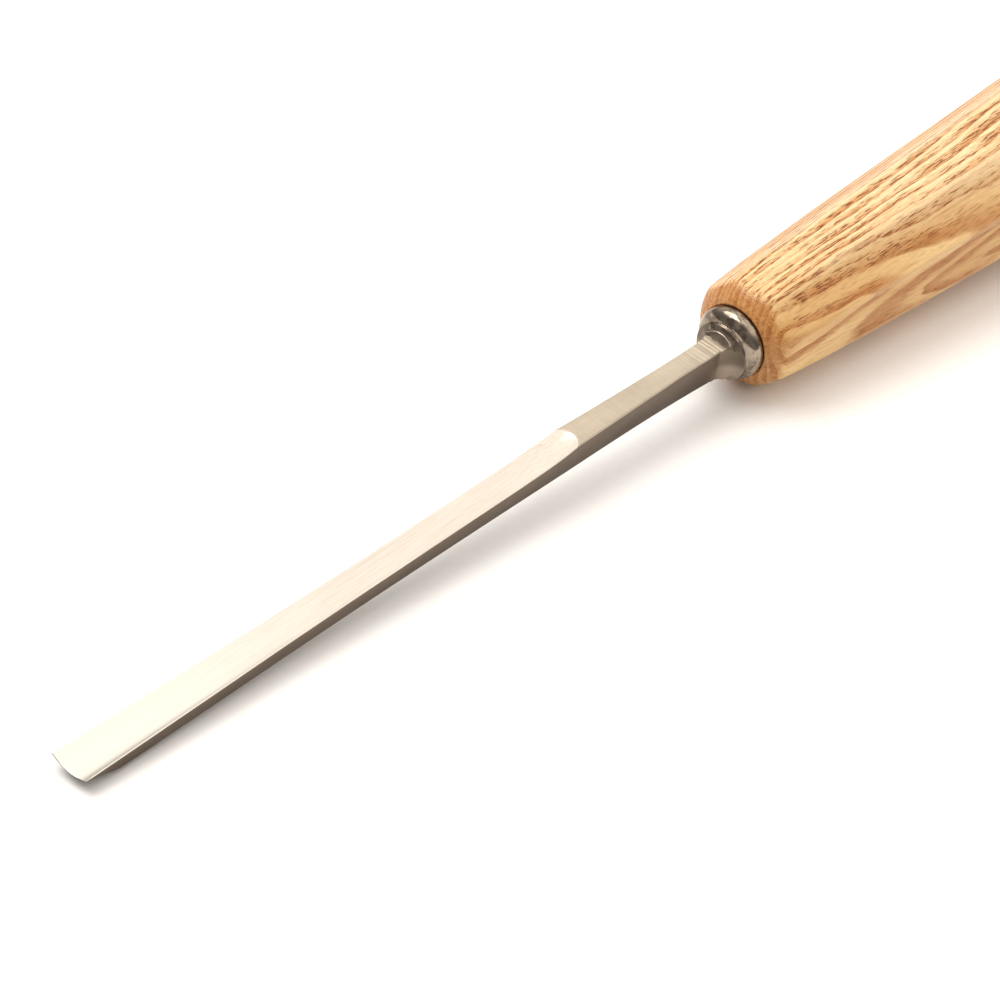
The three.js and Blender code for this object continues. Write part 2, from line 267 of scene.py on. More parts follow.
def mesh_from_rings(name, rings):
    """A closed skin through rings of equal point count, with the tool's own position kept per vertex."""
    count = len(rings[0])
    points = [p for ring in rings for p in ring]
    faces = []
    for r in range(len(rings) - 1):
        for k in range(count):
            a, b = r * count + k, r * count + (k + 1) % count
            faces.append((a, b, b + count, a + count))
    faces.append(tuple(reversed(range(count))))
    faces.append(tuple(range((len(rings) - 1) * count, len(rings) * count)))
    mesh = bpy.data.meshes.new(name)
    mesh.from_pydata([place(p) for p in points], [], faces)
    own_place = mesh.attributes.new("tool_mm", "FLOAT_VECTOR", "POINT")
    for value, p in zip(own_place.data, points):
        value.vector = p
    mesh.update()
    obj = bpy.data.objects.new(name, mesh)
    bpy.context.scene.collection.objects.link(obj)
    return obj


# ---- forging: tang, bolster, shank and blade as one skin ----
TOP_STEPS = 40
SIDE_STEPS = 34
CORNER_STEPS = 5


def corner_curve(before, corner, after):
    """Points strictly between two ends, along a curve that rounds the corner between them."""
    points = []
    for k in range(1, CORNER_STEPS):
        t = k / CORNER_STEPS
        points.append(tuple(b * (1 - t) ** 2 + 2 * c * t * (1 - t) + a * t * t
                            for b, c, a in zip(before, corner, after)))
    return points


SHANK_CORNER = 0.30
CHANNEL_CORNER = 0.13
MAX_CORNER_SHARE = 0.3    # of the blade's height
BEND_BEFORE = 6.0         # rows of the mesh bend this far before and after the channel's end
BEND_AFTER = 12.0


def corner_size(x):
    """How much the long corners are rounded: eased on the shank, crisp along the channel."""
    along_channel = smoothstep(RUNOUT_X - BEND_BEFORE, RUNOUT_X + RUNOUT_REACH, x)
    return mix(SHANK_CORNER, CHANNEL_CORNER, along_channel)


def row_shift(x, y):
    """Rows bend to follow the rounded end of the channel, so its border falls on mesh edges."""
    start = runout_x(0.0)
    if x < start:
        reach = smoothstep(start - BEND_BEFORE, start, x)
    else:
        reach = 1 - smoothstep(start, start + BEND_AFTER, x)
    return reach * (runout_x(y) - start)


def blade_ring(x):
    """One ring round the blade: across the top, down the far side, back underneath, up the near side."""
    edge_x = x + row_shift(x, half_width(x))
    w = half_width(edge_x)
    top, low = blade_top(edge_x, w), blade_under(edge_x, w)
    ease = min(corner_size(edge_x), MAX_CORNER_SHARE * (top - low))
    inner = w - ease
    ring = []
    for k in range(TOP_STEPS + 1):
        y = inner * (1 - 2 * k / TOP_STEPS)
        px = x + row_shift(x, y)
        ring.append((px, y, blade_top(px, y)))
    ring += corner_curve(ring[-1], (edge_x, -w, top), (edge_x, -w, top - ease))
    for k in range(SIDE_STEPS + 1):
        ring.append((edge_x, -w, mix(top - ease, low + ease, k / SIDE_STEPS)))
    under = [(edge_x, y, blade_under(edge_x, y)) for y in
             (-inner + 2 * inner * k / TOP_STEPS for k in range(TOP_STEPS + 1))]
    ring += corner_curve(ring[-1], (edge_x, -w, low), under[0])
    ring += under
    ring += corner_curve(ring[-1], (edge_x, w, low), (edge_x, w, low + ease))
    for k in range(SIDE_STEPS + 1):
        ring.append((edge_x, w, mix(low + ease, top - ease, k / SIDE_STEPS)))
    ring += corner_curve(ring[-1], (edge_x, w, top), ring[0])
    return ring


OUT_OF_REACH = 99.0


def scoop_height(x, level, end, radius, slope=0.0):
    """Distance of a ground scoop's surface from the shank's middle plane at x; slope is where it starts."""
    run = end - x + radius * math.sin(slope)
    if x >= end:
        return level
    if run >= radius:
        return OUT_OF_REACH
    return level + radius * math.cos(slope) - math.sqrt(radius ** 2 - run ** 2)


TINY = 1e-6
BACK_POWER = 4


def bolster_reach(x, direction, core):
    """How far the bolster's skin is from the shank's middle line in one direction across the tool.
    core is how far the shank's own skin is there."""
    dy, dz = direction
    half_height = NECK_HEIGHT / 2
    if dz > 0:
        upright = scoop_height(x, half_height, TOP_SCOOP_END, TOP_SCOOP_RADIUS, TOP_SCOOP_SLOPE)
    else:
        upright = scoop_height(x, half_height, UNDER_SCOOP_END, UNDER_SCOOP_RADIUS)
    side = scoop_height(x, NECK_WIDTH / 2, SIDE_SCOOP_END, SIDE_SCOOP_RADIUS, SIDE_SCOOP_SLOPE)
    limits = [side / max(abs(dy), TINY), upright / max(abs(dz), TINY)]
    collar = COLLAR_RADIUS + COLLAR_FLARE * max(0.0, min(COLLAR_FLARE_LENGTH, COLLAR_FLARE_X - x))
    reach = max(core, min(*limits, collar))
    if x <= RIM_X + DOME_LENGTH:
        if x < RIM_X:
            behind = (RIM_X - x) / (RIM_X - BOLSTER_BACK)
            dome = BOLSTER_RADIUS - BACK_EASE * (1 - math.sqrt(1 - behind ** BACK_POWER))
        else:
            a = math.asin(min(1.0, (x - RIM_X) / DOME_LENGTH))
            dome = DOME_INNER + (BOLSTER_RADIUS - DOME_INNER) * max(0.0, math.cos(a)) ** DOME_POWER
        reach = max(reach, circle_reach(dome, direction))
    return reach


def circle_reach(radius, direction):
    """Distance from the shank's middle line to a circle about the tool's middle line."""
    along = direction[1] * NECK_MIDDLE
    return -along + math.sqrt(along ** 2 - NECK_MIDDLE ** 2 + radius ** 2)


RIM_STEPS = 8
DOME_STEPS = 30
COLLAR_STEP = 0.03
COLLAR_STEPS = 39
NECK_STEPS = 40


def bolster_stations():
    """Where the bolster's rings stand: close on the dome and the collar, closest at the top scoop's arris."""
    dome_end = RIM_X + DOME_LENGTH
    collar_end = dome_end + COLLAR_STEP * COLLAR_STEPS
    stations = [mix(BOLSTER_BACK, RIM_X, k / RIM_STEPS) for k in range(RIM_STEPS + 1)]
    turns = [math.pi / 2 * k / DOME_STEPS for k in range(1, DOME_STEPS + 1)]
    stations += [RIM_X + DOME_LENGTH * math.sin(turn) for turn in turns]
    stations += [dome_end + COLLAR_STEP * k for k in range(1, COLLAR_STEPS + 1)]
    stations += [mix(collar_end, NECK_X, k / NECK_STEPS) for k in range(1, NECK_STEPS)]
    stations += [TOP_SCOOP_END - ARRIS, TOP_SCOOP_END, TOP_SCOOP_END + ARRIS]
    return sorted(stations)


SHANK_STEPS = 60
RUNOUT_STEP = 0.25
RUNOUT_STEPS = 48
CHANNEL_STEPS = 90
BEVEL_STEPS = 50
BEVEL_LEAD = 4.0          # the close rings of the bevel start this far behind the heel


def blade_stations():
    """Where the rings of the shank and the blade stand, closest over the channel's end and the bevel."""
    runout_end = RUNOUT_X + RUNOUT_STEP * RUNOUT_STEPS
    bevel_start = HEEL_X - BEVEL_LEAD
    stations = [mix(NECK_X, RUNOUT_X, k / SHANK_STEPS) for k in range(SHANK_STEPS)]
    stations += [RUNOUT_X + RUNOUT_STEP * k for k in range(RUNOUT_STEPS)]
    stations += [mix(runout_end, bevel_start, k / CHANNEL_STEPS) for k in range(CHANNEL_STEPS)]
    stations += [mix(bevel_start, BLADE_LENGTH, k / BEVEL_STEPS) for k in range(BEVEL_STEPS + 1)]
    return stations


def make_forging():
    """Every ring of the bolster and the tang has one point for each point of the neck's ring."""
    neck = blade_ring(NECK_X)
    spokes = []
    for _, y, z in neck:
        reach = math.hypot(y, z - NECK_MIDDLE)
        spokes.append(((y / reach, (z - NECK_MIDDLE) / reach), reach))

    def square(x, width):
        ring = []
        for (dy, dz), _ in spokes:
            reach = width / 2 / max(abs(dy), abs(dz))
            ring.append((x, reach * dy, reach * dz))
        return ring

    rings = [square(-TANG_LENGTH, TANG_POINT_WIDTH), square(TANG_POINT - TANG_LENGTH, TANG_TIP_WIDTH),
             square(BOLSTER_BACK, TANG_WIDTH)]
    for x in bolster_stations():
        reaches = [(d, bolster_reach(x, d, core)) for d, core in spokes]
        rings.append([(x, r * dy, NECK_MIDDLE + r * dz) for (dy, dz), r in reaches])
    rings += [blade_ring(x) for x in blade_stations()]
    forging = mesh_from_rings("blade_forging_fine", rings)
    mark_finishes(forging, len(rings[0]))
    return forging


CHANNEL, SHANK, SIDE, BOLSTER = range(4)
SIDE_FINISH_START = 3.3


def mark_finishes(forging, count):
    """Gives each face its finish from where it lies on the forging."""
    points = [Vector(v.vector) for v in forging.data.attributes["tool_mm"].data]
    border = runout_x(0.0)
    for face in forging.data.polygons:
        middle = sum((points[i] for i in face.vertices), Vector()) / len(face.vertices)
        columns = [i % count for i in face.vertices]
        column = 0 if max(columns) - min(columns) > count / 2 else min(columns)
        upward = column < TOP_STEPS + CORNER_STEPS or column >= count - CORNER_STEPS
        on_top = upward and len(face.vertices) == 4
        if middle.x < (TOP_SCOOP_END if on_top else SIDE_FINISH_START):
            finish = BOLSTER
        elif not on_top:
            finish = SIDE
        elif middle.x < max(border, runout_x(middle.y)):
            finish = SHANK
        else:
            finish = CHANNEL
        face.material_index = finish
        face.use_smooth = True


# ---- handle ----
def handle_half_width(behind):
    """Half the width across flats this far behind the handle's front."""
    belly, taper = BELLY_WIDTH / 2, math.tan(REST_TILT)
    straight_front = belly - taper * (BELLY_X - STRAIGHT_START)
    if behind >= BELLY_X:
        t = (behind - BELLY_X) / (BUTT_X - BELLY_X)
        return belly - (belly - BUTT_WIDTH / 2) * t * t
    if behind >= STRAIGHT_START:
        return belly - taper * (BELLY_X - behind)
    t = (STRAIGHT_START - behind) / STRAIGHT_START
    return mix(straight_front, NOSE_WIDTH / 2 - NOSE_INSET, t) + NOSE_BULGE * t * (1 - t)


NOSE_RIM = NOSE_WIDTH / 2 * 1.13  # past the octagon's ridges, so that the turned nose runs into them
# the nose's profile: (share of its depth back from the front, share of the way out to its rim)
NOSE_SHARES = [(0, 0), (0.09, 0.24), (0.21, 0.46), (0.34, 0.66), (0.53, 0.85), (0.76, 0.95), (1, 1),
               (1.8, 1.2)]
# the butt's corner: (distance forward, distance outward) from the edge of the domed end
BUTT_CORNER = [(0, 0), (0.45, 0.85), (1.3, 1.6), (2.8, 2.4), (5, 4), (9, 7)]
BUTT_DOME_INSET = 1.5
BUTT_STEPS = 32
BUTT_CORNER_STEP = 0.15
BUTT_CORNER_STEPS = 49
BODY_STEPS = 110
NOSE_STEPS = 75
NOSE_CROWDING = 1.4       # above 1 the rings crowd toward the front
NOSE_RINGS_START = -10.0
UNTURNED = 40.0           # wider than the octagon, so the lathe left nothing here


def turned_rings():
    """(x, radius of the turned body) pairs from the butt's middle to the nose's front ring."""
    pairs = []
    reach = BUTT_WIDTH / 2 - BUTT_DOME_INSET
    for k in range(1, BUTT_STEPS + 1):
        r = reach * k / BUTT_STEPS
        pairs.append((-HANDLE_LENGTH + DOME_RADIUS - math.sqrt(DOME_RADIUS ** 2 - r * r), r))
    end = pairs[-1][0]
    corner = [(end + forward, reach + outward) for forward, outward in BUTT_CORNER]
    corner_xs = [end + BUTT_CORNER_STEP * k for k in range(1, BUTT_CORNER_STEPS + 1)]
    pairs += [(x, spline(corner, x)) for x in corner_xs]
    body_xs = [mix(corner_xs[-1], NOSE_RINGS_START, k / BODY_STEPS) for k in range(1, BODY_STEPS + 1)]
    pairs += [(x, UNTURNED) for x in body_xs]
    nose = [(back * NOSE_DEPTH, mix(NOSE_FACE_RADIUS, NOSE_RIM, out)) for back, out in NOSE_SHARES]
    nose_end, nose_end_radius = nose[-1]
    for k in range(1, NOSE_STEPS):
        back = (NOSE_FRONT - NOSE_RINGS_START) * (1 - k / NOSE_STEPS) ** NOSE_CROWDING
        radius = spline(nose, back) if back < nose_end else nose_end_radius + back - nose_end
        pairs.append((NOSE_FRONT - back, radius))
    pairs.append((NOSE_FRONT, NOSE_FACE_RADIUS))
    return pairs


MEET_POWER = 26           # how sharply the turned nose and butt meet the flats
RIDGE_POWER = 110         # how sharp the octagon's ridges are
SIDES = 8
FACET_STEPS = 24


def soft_min(a, b):
    return (a ** -MEET_POWER + b ** -MEET_POWER) ** (-1 / MEET_POWER)


def octagon_reach(angle):
    """Distance to the wall of an octagon one unit from middle to flat, with its ridges a little eased."""
    total = sum(max(0.0, math.cos(angle - k * 2 * math.pi / SIDES)) ** RIDGE_POWER for k in range(SIDES))
    return total ** (-1 / RIDGE_POWER)


def make_handle():
    """The outside from butt to nose, then back inside along the bore and the tang's hole."""
    count = SIDES * FACET_STEPS
    angles = [2 * math.pi * k / count for k in range(count)]
    shape = [octagon_reach(a) for a in angles]

    def ring(x, radii):
        return [(x, r * math.cos(a), r * math.sin(a)) for a, r in zip(angles, radii)]

    def circle(x, radius):
        return ring(x, [radius] * count)

    rings = []
    for x, turned in turned_rings():
        flat = handle_half_width(-x)
        rings.append(ring(x, [soft_min(flat * s, turned) for s in shape]))

    rings[-1] = circle(NOSE_FRONT, NOSE_FACE_RADIUS)
    bore_end = WOOD_FRONT - BORE_DEPTH
    rings += [circle(NOSE_FRONT, BORE_RADIUS + BORE_MOUTH_FLARE),
              circle(NOSE_FRONT - BORE_MOUTH_DEPTH, BORE_RADIUS),
              circle(bore_end, BORE_RADIUS), circle(bore_end, TANG_HOLE_RADIUS),
              circle(-TANG_LENGTH - TANG_HOLE_SPARE, TANG_HOLE_TIP_RADIUS)]
    handle = mesh_from_rings("handle_ash_fine", rings)
    for face in handle.data.polygons:
        face.use_smooth = True
    return handle


# ---- materials ----
# sockets of a Mix node that mixes colours
MIX_FACTOR, MIX_A, MIX_B = 0, 6, 7
MIX_RESULT = 2


class Nodes:
    """Short names for building one material's node tree."""

    def __init__(self, name):
        self.material = bpy.data.materials.new(name)
        self.material.use_nodes = True
        self.tree = self.material.node_tree
        self.shader = self.tree.nodes["Principled BSDF"]
        self.shader.distribution = "MULTI_GGX"

    def add(self, kind, **settings):
        node = self.tree.nodes.new(kind)
        for key, value in settings.items():
            setattr(node, key, value)
        return node

    def link(self, source, target):
        self.tree.links.new(source, target)

    def feed(self, target, value):
        if isinstance(value, bpy.types.NodeSocket):
            self.link(value, target)
        else:
            target.default_value = value

    def tool_position(self):
        return self.add("ShaderNodeAttribute", attribute_name="tool_mm").outputs["Vector"]

    def object_mm(self):
        return self.stretch(self.add("ShaderNodeTexCoord").outputs["Object"], 1 / MM, 1 / MM, 1 / MM)

    def ridges(self, low, high):
        """0 to 1 where the surface turns sharply outward, as along an arris."""
        return self.range(self.add("ShaderNodeNewGeometry").outputs["Pointiness"], low, high)

    def split(self, vector):
        node = self.add("ShaderNodeSeparateXYZ")
        self.link(vector, node.inputs[0])
        return node.outputs

    def join(self, x, y, z):
        node = self.add("ShaderNodeCombineXYZ")
        for socket, value in zip(node.inputs, (x, y, z)):
            self.feed(socket, value)
        return node.outputs[0]

    def math(self, operation, *values):
        node = self.add("ShaderNodeMath", operation=operation)
        for socket, value in zip(node.inputs, values):
            self.feed(socket, value)
        return node.outputs[0]

    def noise(self, place, along, across, detail, roughness, offset=(0, 0, 0)):
        """Noise about 0.5; along and across are its features per unit along X and across it."""
        node = self.add("ShaderNodeTexNoise")
        self.link(self.stretch(place, along, across, across, offset), node.inputs["Vector"])
        node.inputs["Scale"].default_value = 1.0
        node.inputs["Detail"].default_value = detail
        node.inputs["Roughness"].default_value = roughness
        return node.outputs["Fac"]

    def stretch(self, vector, sx, sy, sz, offset=(0, 0, 0)):
        node = self.add("ShaderNodeMapping")
        self.link(vector, node.inputs["Vector"])
        node.inputs["Location"].default_value = offset
        node.inputs["Scale"].default_value = (sx, sy, sz)
        return node.outputs[0]

    def range(self, value, low, high, out_low=0.0, out_high=1.0, smooth=True):
        node = self.add("ShaderNodeMapRange", interpolation_type="SMOOTHSTEP" if smooth else "LINEAR")
        self.feed(node.inputs["Value"], value)
        for key, number in (("From Min", low), ("From Max", high), ("To Min", out_low), ("To Max", out_high)):
            self.feed(node.inputs[key], number)
        return node.outputs["Result"]

    def blend(self, factor, a, b, mode="MIX"):
        node = self.add("ShaderNodeMix", data_type="RGBA", blend_type=mode)
        for socket, value in ((MIX_FACTOR, factor), (MIX_A, a), (MIX_B, b)):
            self.feed(node.inputs[socket], value)
        return node.outputs[MIX_RESULT]

    def shade(self, colour, tone):
        """The colour made darker or lighter by a number."""
        return self.blend(1.0, colour, self.join(tone, tone, tone), "MULTIPLY")

    def bump(self, height, distance_mm, normal=None):
        node = self.add("ShaderNodeBump")
        self.link(height, node.inputs["Height"])
        node.inputs["Distance"].default_value = distance_mm * MM
        node.inputs["Strength"].default_value = 1.0
        if normal is not None:
            self.link(normal, node.inputs["Normal"])
        return node.outputs[0]

    def fed(self, key):
        """What feeds one of the shader's sockets so far."""
        return self.shader.inputs[key].links[0].from_socket

    def set(self, **sockets):
        for key, value in sockets.items():
            self.feed(self.shader.inputs[key.replace("_", " ")], value)


CHANNEL_STEEL = (0.69, 0.635, 0.56, 1)
# the next colour is a painted reflection on the channel by the cutting edge
TIP_REFLECTION_STEEL = (0.77, 0.745, 0.685, 1)
SHANK_STEEL = (0.52, 0.455, 0.36, 1)
# the next colour is painted shade and painted dark reflection on the steel
PAINTED_SHADE_STEEL = (0.13, 0.105, 0.08, 1)
# the next colour is darker than the other steel: a painted dark reflection on the sides
SIDE_STEEL = (0.145, 0.110, 0.082, 1)
BOLSTER_STEEL = (0.39, 0.32, 0.25, 1)
WORN_STEEL = (0.50, 0.45, 0.385, 1)
FERRULE_STEEL = (0.32, 0.29, 0.26, 1)


def steel_material(name, colour, roughness, haze, line_depth, line_pitch, across=False, stain=0.86,
                   cad=False):
    """Ground or polished steel. Its grinding lines run along the tool, or across it, line_depth deep and
    line_pitch apart in millimetres. haze is how much rougher it gets in places, stain the tone of its
    darker patches. cad is for a CAD node, which has no tool_mm and gets no worn arrises."""
    n = Nodes(name)
    place_mm = n.object_mm() if cad else n.tool_position()
    x_scale, yz_scale = (1 / line_pitch, 0.12) if across else (0.05, 1 / line_pitch)
    lines = n.noise(place_mm, x_scale, yz_scale, 3.0, 0.65)
    smudge = n.noise(place_mm, 0.09, 0.35, 3.0, 0.6, (3, 7, 1))
    darker = tuple(c * stain for c in colour[:3]) + (1,)
    base = n.blend(n.range(smudge, 0.3, 0.7), colour, darker)
    base = n.shade(base, n.range(lines, 0.35, 0.65, 0.93, 1.06, smooth=False))
    hazy = n.range(smudge, 0.25, 0.75, roughness, roughness + haze)
    rough = n.math("ADD", hazy, n.range(lines, 0.3, 0.7, 0, haze))
    if not cad:
        worn = n.math("MULTIPLY", n.ridges(0.53, 0.62), n.range(smudge, 0.35, 0.6, 0.25, 0.7))
        worn = n.math("MULTIPLY", worn, n.range(n.split(place_mm)[0], NECK_X, NECK_X + 4))
        base = n.blend(worn, base, WORN_STEEL)
    n.set(Metallic=1.0, Base_Color=base, Roughness=rough, Normal=n.bump(lines, line_depth))
    return n


def make_channel_steel():
    """Polished hollow face, with a painted reflection that makes it lighter and whiter toward the cutting
    edge.
    """
    n = steel_material("steel_polished_channel", CHANNEL_STEEL, roughness=0.15, haze=0.04,
                       line_depth=0.0012, line_pitch=0.16, stain=0.95)
    # painted reflection: lighter, whiter steel toward the cutting edge
    tip_reflection = n.range(n.split(n.tool_position())[0], 70, 112, 0.0, 0.8)
    n.set(Base_Color=n.blend(tip_reflection, n.fed("Base Color"), TIP_REFLECTION_STEEL))
    return n.material


def make_shank_steel():
    """Ground across, with coarser ridges left by the wheel next to the bolster."""
    n = steel_material("steel_ground_shank", SHANK_STEEL, roughness=0.30, haze=0.06,
                       line_depth=0.010, line_pitch=0.24, across=True)
    place_mm = n.tool_position()
    x = n.split(place_mm)[0]
    ridges = n.noise(place_mm, 2.3, 0.10, 1.0, 0.5, (8, 1, 4))
    coarse = n.range(x, 6.5, 15.0, 1.0, 0.12)
    shaped = n.math("MULTIPLY", n.range(ridges, 0.32, 0.68), coarse)
    n.set(Normal=n.bump(shaped, 0.04, n.fed("Normal")))
    base = n.fed("Base Color")
    base = n.blend(coarse, base, n.shade(base, n.math("MULTIPLY_ADD", shaped, 0.35, 0.78)))
    # painted shade along the flat's end where it drops into the top scoop
    painted_arris_shade = n.range(x, TOP_SCOOP_END, TOP_SCOOP_END + 0.2, 0.85, 0.0)
    n.set(Base_Color=n.blend(painted_arris_shade, base, PAINTED_SHADE_STEEL))
    return n.material


def make_side_steel():
    """Dull ground sides and underside, their dark colour a painted dark reflection. Painted shade makes them
    darker low down and lighter toward the hollow face, a painted reflection brightens them low down by the
    bolster, and painted shade darkens the upper part of the scoop there."""
    n = steel_material("steel_ground_side", SIDE_STEEL, roughness=0.30, haze=0.08,
                       line_depth=0.004, line_pitch=0.22)
    x, _, z = n.split(n.tool_position())
    # painted shade: darker low down, lighter toward the hollow face
    base = n.shade(n.fed("Base Color"), n.range(z, -2.2, 1.6, 0.80, 1.28))
    # painted reflection: brighter low down by the bolster
    painted_light_by_bolster = n.math("MULTIPLY", n.range(x, 4.0, 8.5, 0.8, 0.0), n.range(z, -1.6, -0.2, 1.0, 0.2))
    base = n.blend(painted_light_by_bolster, base, BOLSTER_STEEL)
    # painted shade in the upper part of the side scoop
    painted_scoop_shade = n.math("MULTIPLY", n.range(x, 4.2, 6.4, 0.75, 0.0), n.range(z, -0.9, 0.5))
    n.set(Base_Color=n.blend(painted_scoop_shade, base, PAINTED_SHADE_STEEL))
    return n.material


def make_bolster_steel():
    """Forged, then polished by hand: the surface is a little wavy, with dark patches painted on as painted
    dark reflections.
    """
    n = steel_material("steel_polished_bolster", BOLSTER_STEEL, roughness=0.08, haze=0.04,
                       line_depth=0.003, line_pitch=0.45, stain=0.62)
    place_mm = n.tool_position()
    waves = n.noise(place_mm, 0.8, 0.42, 2.0, 0.5, (6, 4, 1))
    n.set(Normal=n.bump(waves, 0.07, n.fed("Normal")))
    # dark patches here are painted dark reflections
    dark_reflection_patches = n.noise(place_mm, 1.1, 0.55, 4.0, 0.65, (1, 9, 4))
    n.set(Base_Color=n.blend(n.range(dark_reflection_patches, 0.46, 0.60, 0.0, 0.85), n.fed("Base Color"), PAINTED_SHADE_STEEL))
    return n.material


def make_ferrule_steel():
    """The hidden ring: turned and left brushed."""
    n = steel_material("steel_ferrule", FERRULE_STEEL, roughness=0.38, haze=0.05,
                       line_depth=0.004, line_pitch=0.3, across=True, cad=True)
    return n.material


CREAM = (0.66, 0.395, 0.150, 1)
PALE = (0.80, 0.555, 0.255, 1)
TAN = (0.51, 0.215, 0.050, 1)
AMBER = (0.42, 0.155, 0.030, 1)
PORE = (0.22, 0.056, 0.002, 1)
END_GRAIN = (0.45, 0.160, 0.032, 1)
# the next colour is a painted highlight along the octagon's ridges
RIDGE_HIGHLIGHT = (0.82, 0.60, 0.34, 1)
# the next colour is a painted sheen for the top of the handle
PAINTED_TOP_SHEEN = (0.86, 0.69, 0.42, 1)
FLAME = (0.43, 0.152, 0.031, 1)
RING_SPACING = 0.98
GRAIN_FAN = -0.019        # how fast the growth rings spread apart away from the nose
RING_BEND = 0.34          # steepness of the rings' V across the near side
RING_BEND_SOFTNESS = 2.0
RING_MIDDLE_Z = 1.4


def growth_ring(n, p):
    """Position inside a growth ring, 0 to 1; 1 is the dark start of the next year's open-pored wood."""
    x, y, z = n.split(p)
    wander = n.noise(p, 0.020, 0.08, 2.0, 0.5, (11, 2, 5))
    ripple = n.noise(p, 0.11, 0.45, 3.0, 0.6, (4, 9, 2))
    off_middle = n.math("ADD", z, RING_MIDDLE_Z)
    bent = n.math("SQRT", n.math("ADD", n.math("MULTIPLY", off_middle, off_middle), RING_BEND_SOFTNESS))
    depth = n.math("DIVIDE", y, n.math("MULTIPLY_ADD", x, GRAIN_FAN, 1.0))
    depth = n.math("MULTIPLY_ADD", bent, RING_BEND, depth)
    depth = n.math("MULTIPLY_ADD", wander, 2.6, depth)
    depth = n.math("MULTIPLY_ADD", ripple, 0.45, depth)
    years = n.math("DIVIDE", depth, RING_SPACING)
    uneven = n.noise(n.join(n.math("MULTIPLY", years, 0.7), 3.1, 0.4), 1.0, 1.0, 1.0, 0.5)
    return n.math("FRACT", n.math("MULTIPLY_ADD", uneven, 1.1, years))


def make_ash():
    """Ash: growth rings seen lengthwise, with dark dashed pores in each ring's open-pored part, broad
    tan flames on the two sides, and a painted sheen that makes the top paler."""
    n = Nodes("ash_wood")
    p = n.tool_position()
    x, y, z = n.split(p)
    phase = growth_ring(n, p)
    strength = n.noise(p, 0.07, 0.40, 2.0, 0.6, (2, 6, 3))
    flame = n.math("MULTIPLY", n.range(phase, 0.22, 0.78), n.range(phase, 0.88, 1.0, 1.0, 0.0))
    at_side = n.range(n.math("ABSOLUTE", y), 5.5, 8.0)
    flame = n.math("MULTIPLY", flame, n.range(strength, 0.34, 0.56, 0.55, 0.92))
    early = n.math("MULTIPLY", n.range(phase, 0.14, 0.80), n.range(phase, 0.94, 1.0, 1.0, 0.0))
    early = n.math("MULTIPLY", early, n.range(strength, 0.36, 0.60, 0.30, 1.0))
    edge = n.math("MULTIPLY", n.range(phase, 0.72, 0.93), n.range(phase, 0.95, 1.0, 1.0, 0.0))

    fibre = n.noise(p, 0.10, 2.4, 3.0, 0.6)
    fine = n.noise(p, 0.30, 7.0, 2.0, 0.6, (1, 3, 8))
    patch = n.noise(p, 0.03, 0.15, 2.0, 0.5, (7, 7, 7))
    pores = n.noise(p, 0.42, 6.0, 1.5, 0.5, (5, 1, 2))
    crowd = n.math("MULTIPLY_ADD", early, 0.11, pores)
    pore_mask = n.math("MULTIPLY", n.range(crowd, 0.60, 0.66), n.range(early, 0.0, 0.5, 0.35, 1.0))
    pore_mask = n.math("MULTIPLY", pore_mask, n.math("MULTIPLY_ADD", at_side, -0.45, 1.0))

    colour = n.blend(n.range(patch, 0.35, 0.65), PALE, CREAM)
    # painted sheen: paler toward the top of the handle
    colour = n.blend(n.range(z, 6.0, 9.6, 0.0, 0.60), colour, PAINTED_TOP_SHEEN)
    colour = n.blend(n.math("MULTIPLY", flame, at_side), colour, FLAME)
    colour = n.blend(n.math("MULTIPLY", early, 0.80), colour, TAN)
    colour = n.blend(n.math("MULTIPLY", edge, 0.45), colour, AMBER)
    colour = n.blend(n.range(fibre, 0.45, 0.75, 0.0, 0.55), colour, TAN)
    colour = n.blend(n.range(fine, 0.45, 0.75, 0.0, 0.30), colour, TAN)
    colour = n.blend(n.math("MULTIPLY", pore_mask, 0.92), colour, PORE)

    # the turned nose and the butt show darker end grain
    facing = n.split(n.add("ShaderNodeNewGeometry").outputs["Normal"])[0]
    end = n.range(n.math("ABSOLUTE", facing), 0.16, 0.75)
    speckle = n.noise(p, 0.8, 2.2, 2.0, 0.6, (2, 2, 6))
    end_colour = n.blend(n.range(speckle, 0.35, 0.70, 0.0, 0.35), END_GRAIN, PORE)
    end_colour = n.blend(n.range(speckle, 0.30, 0.50, 0.45, 0.0), end_colour, CREAM)
    colour = n.blend(n.math("MULTIPLY", end, 0.70), colour, end_colour)

    # the octagon's ridges get a painted highlight, paler in places, and are made smoother there
    round_turn = n.math("COSINE", n.math("MULTIPLY", n.math("ARCTAN2", z, y), 8.0))
    highlit_ridges = n.math("MULTIPLY", n.range(round_turn, -1.0, -0.86, 1.0, 0.0), n.range(x, -14.0, -9.0, 1.0, 0.0))
    highlit_ridges = n.math("MULTIPLY", highlit_ridges, n.range(strength, 0.35, 0.62, 0.35, 0.85))
    colour = n.blend(n.math("MULTIPLY", highlit_ridges, 0.55), colour, RIDGE_HIGHLIGHT)

    height = n.math("SUBTRACT", n.math("MULTIPLY", fibre, 0.25), pore_mask)
    rough = n.math("SUBTRACT", n.range(fine, 0.3, 0.7, 0.40, 0.52), n.math("MULTIPLY", highlit_ridges, 0.12))
    rough = n.math("ADD", rough, n.math("MULTIPLY", pore_mask, 0.2))
    n.set(Base_Color=colour, Roughness=rough, Normal=n.bump(height, 0.04))
    n.set(Coat_Weight=0.24, Coat_Roughness=0.24, Specular_IOR_Level=0.28)
    return n.material


